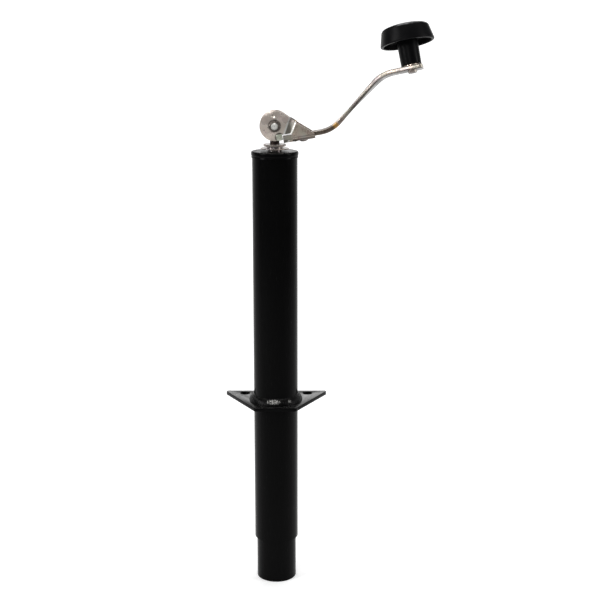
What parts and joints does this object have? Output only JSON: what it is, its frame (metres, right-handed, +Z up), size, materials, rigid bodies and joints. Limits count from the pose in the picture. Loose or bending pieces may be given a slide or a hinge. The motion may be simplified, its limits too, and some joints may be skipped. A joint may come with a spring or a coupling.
{
  "type": "trailer tongue jack",
  "caption": "Round-tube screw jack for a trailer tongue, with a triangular bolt-on plate and a folding top crank with a mushroom knob.",
  "frame": {"origin": "on the tube's axis, level with the underside of the mounting plate", "axes": "+Z up along the tube, +X towards the crank's knob, +Y towards the wide side of the mounting plate"},
  "size_m": [0.2625, 0.0755, 0.7307],
  "materials": {
    "black_paint": "gloss black paint",
    "zinc": "bright zinc plate with a faint pink and yellow cast",
    "steel": "turned steel with a film of grease",
    "bronze": "machined bronze",
    "nylon": "satin",
    "black_plastic": "satin moulded plastic"
  },
  "bodies": {
    "housing": {"outer_tube": "black_paint", "guide_key": "black_paint", "top_cap": "black_paint", "bearing_seat": "steel", "neck_bush": "zinc", "mounting_plate": "black_paint", "plate_weld": "black_paint", "upper_race": "steel"},
    "ram": {"ram_tube": "black_paint", "foot_plate": "black_paint", "drive_nut": "bronze", "nut_pins": "steel"},
    "bearing": {"bearing_balls": "steel", "ball_cage": "bronze"},
    "screw": {"lower_race": "steel", "thrust_collar": "steel", "collar_pin": "steel", "lead_screw": "steel", "end_collar": "steel", "end_pin": "steel", "neck_spacer": "zinc", "neck_washer": "zinc", "swivel_head": "zinc", "head_pin": "zinc"},
    "crank": {"crank_bracket": "zinc", "crank_bar": "zinc", "bar_rivets": "zinc", "pivot_bolt": "zinc", "pivot_nut": "zinc", "nut_insert": "nylon", "stop_pin": "zinc", "knob_spindle": "zinc", "spindle_washer": "zinc"},
    "knob": {"knob_stem": "black_plastic", "knob_head": "black_plastic"}
  },
  "joints": [
    {"name": "screw_turn", "type": "hinge", "parent": "housing", "child": "screw", "pos_m": [0, 0, 0.3289], "axis": [0, 0, -1], "range_deg": [0, 25200]},
    {"name": "ram_slide", "type": "slide", "parent": "housing", "child": "ram", "axis": [0, 0, -1], "range_m": [0, 0.3556]},
    {"name": "bearing_roll", "type": "hinge", "parent": "housing", "child": "bearing", "pos_m": [0, 0, 0.31288], "axis": [0, 0, -1], "range_deg": [0, 12600]},
    {"name": "crank_fold", "type": "hinge", "parent": "screw", "child": "crank", "pos_m": [0, 0, 0.3605], "axis": [0, -1, 0], "range_deg": [0, 210]},
    {"name": "knob_spin", "type": "hinge", "parent": "crank", "child": "knob", "pos_m": [0.16814, -0.00537, 0.43284], "axis": [-0.1763, 0.2236, 0.9586], "continuous": true}
  ],
  "couplings": [
    {"joint": "ram_slide", "follows": "screw_turn", "m_per_rad": 0.00080851},
    {"joint": "bearing_roll", "follows": "screw_turn", "ratio": 0.5}
  ]
}
